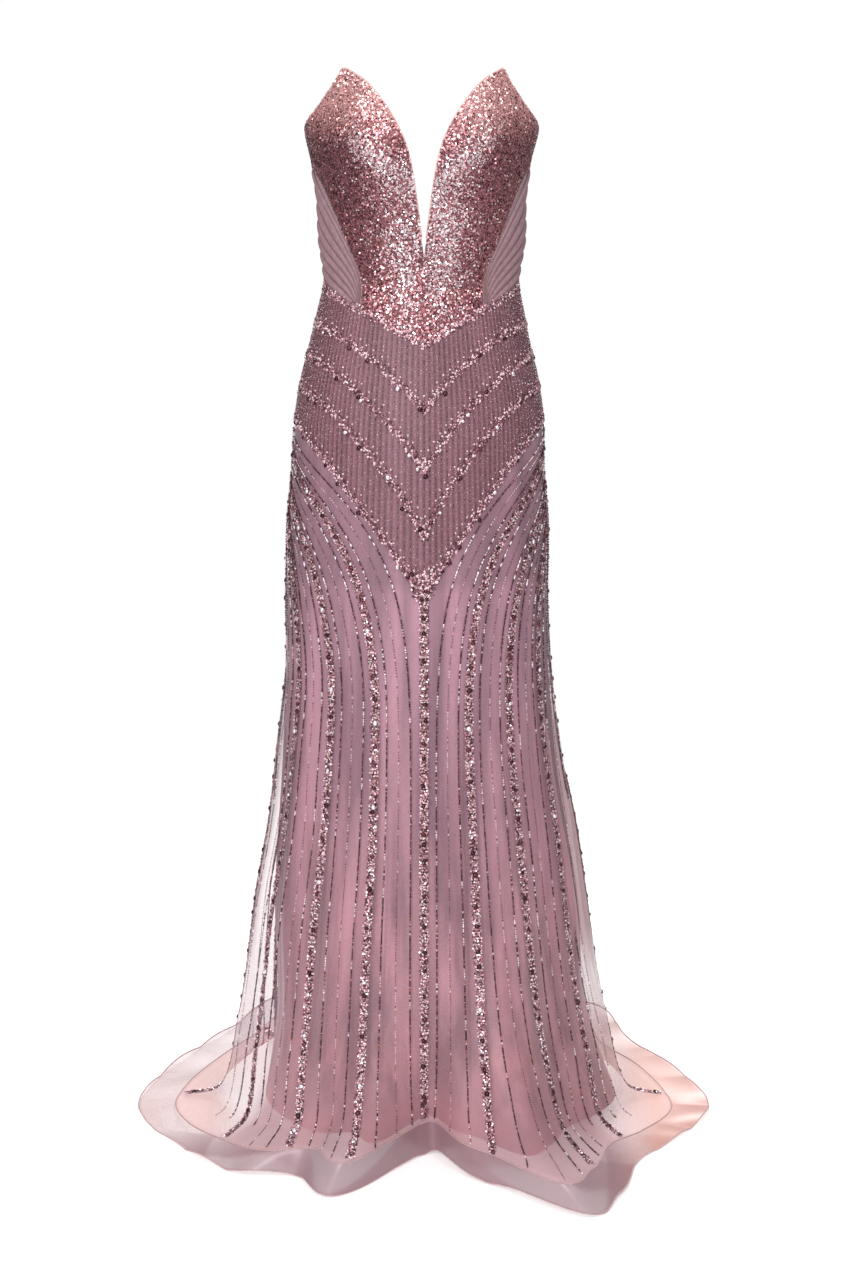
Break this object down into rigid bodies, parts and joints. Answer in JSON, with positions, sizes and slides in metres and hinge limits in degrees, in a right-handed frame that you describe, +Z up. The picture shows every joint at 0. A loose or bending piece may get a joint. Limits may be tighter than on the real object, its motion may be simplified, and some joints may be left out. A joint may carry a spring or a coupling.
{
  "type": "fitted formal dress",
  "caption": "Strapless floor-length fitted gown: plunging sequined bodice, sheer side inserts, beaded tulle skirt over a lining, small train, zip at the back.",
  "frame": {"origin": "centre of the waist of the wearer, midway between front and back; the floor is 1.080 m below", "axes": "+Z up, the front faces -Y, +X is the wearer's left"},
  "size_m": [0.7552, 0.7712, 1.3334],
  "materials": {
    "sequined_cloth": "dusty rose sequins and beads sewn densely on cloth",
    "side_mesh": "sheer mauve mesh with fine cords",
    "binding": "pale peach folded edge",
    "beaded_tulle": "sheer mauve tulle with bead and sequin lines",
    "lining_satin": "opaque mauve lining with a soft sheen",
    "horsehair_band": "stiff sheer grey-lavender braid",
    "zip_tape": "mauve zip tape and coil",
    "zip_metal": "rose-coloured coated metal"
  },
  "bodies": {
    "dress": {"bodice_front_left": "sequined_cloth", "bodice_front_right": "sequined_cloth", "side_insert_left": "side_mesh", "side_insert_right": "side_mesh", "bodice_back_left": "sequined_cloth", "bodice_back_right": "sequined_cloth", "neckline_binding_left": "binding", "neckline_binding_right": "binding", "skirt_tulle_front": "beaded_tulle", "skirt_tulle_back_left": "beaded_tulle", "skirt_tulle_back_right": "beaded_tulle", "skirt_lining_front": "lining_satin", "skirt_lining_back_left": "lining_satin", "skirt_lining_back_right": "lining_satin", "hem_band_front": "horsehair_band", "hem_band_back_left": "horsehair_band", "hem_band_back_right": "horsehair_band", "zip_chain": "zip_tape", "zip_slider": "zip_metal"},
    "pull_tab": {"zip_pull": "zip_metal"}
  },
  "joints": [
    {"name": "pull_tab_hinge", "type": "hinge", "parent": "dress", "child": "pull_tab", "pos_m": [0, 0.08845, 0.00525], "axis": [1, 0, 0], "range_deg": [0, 165]}
  ]
}
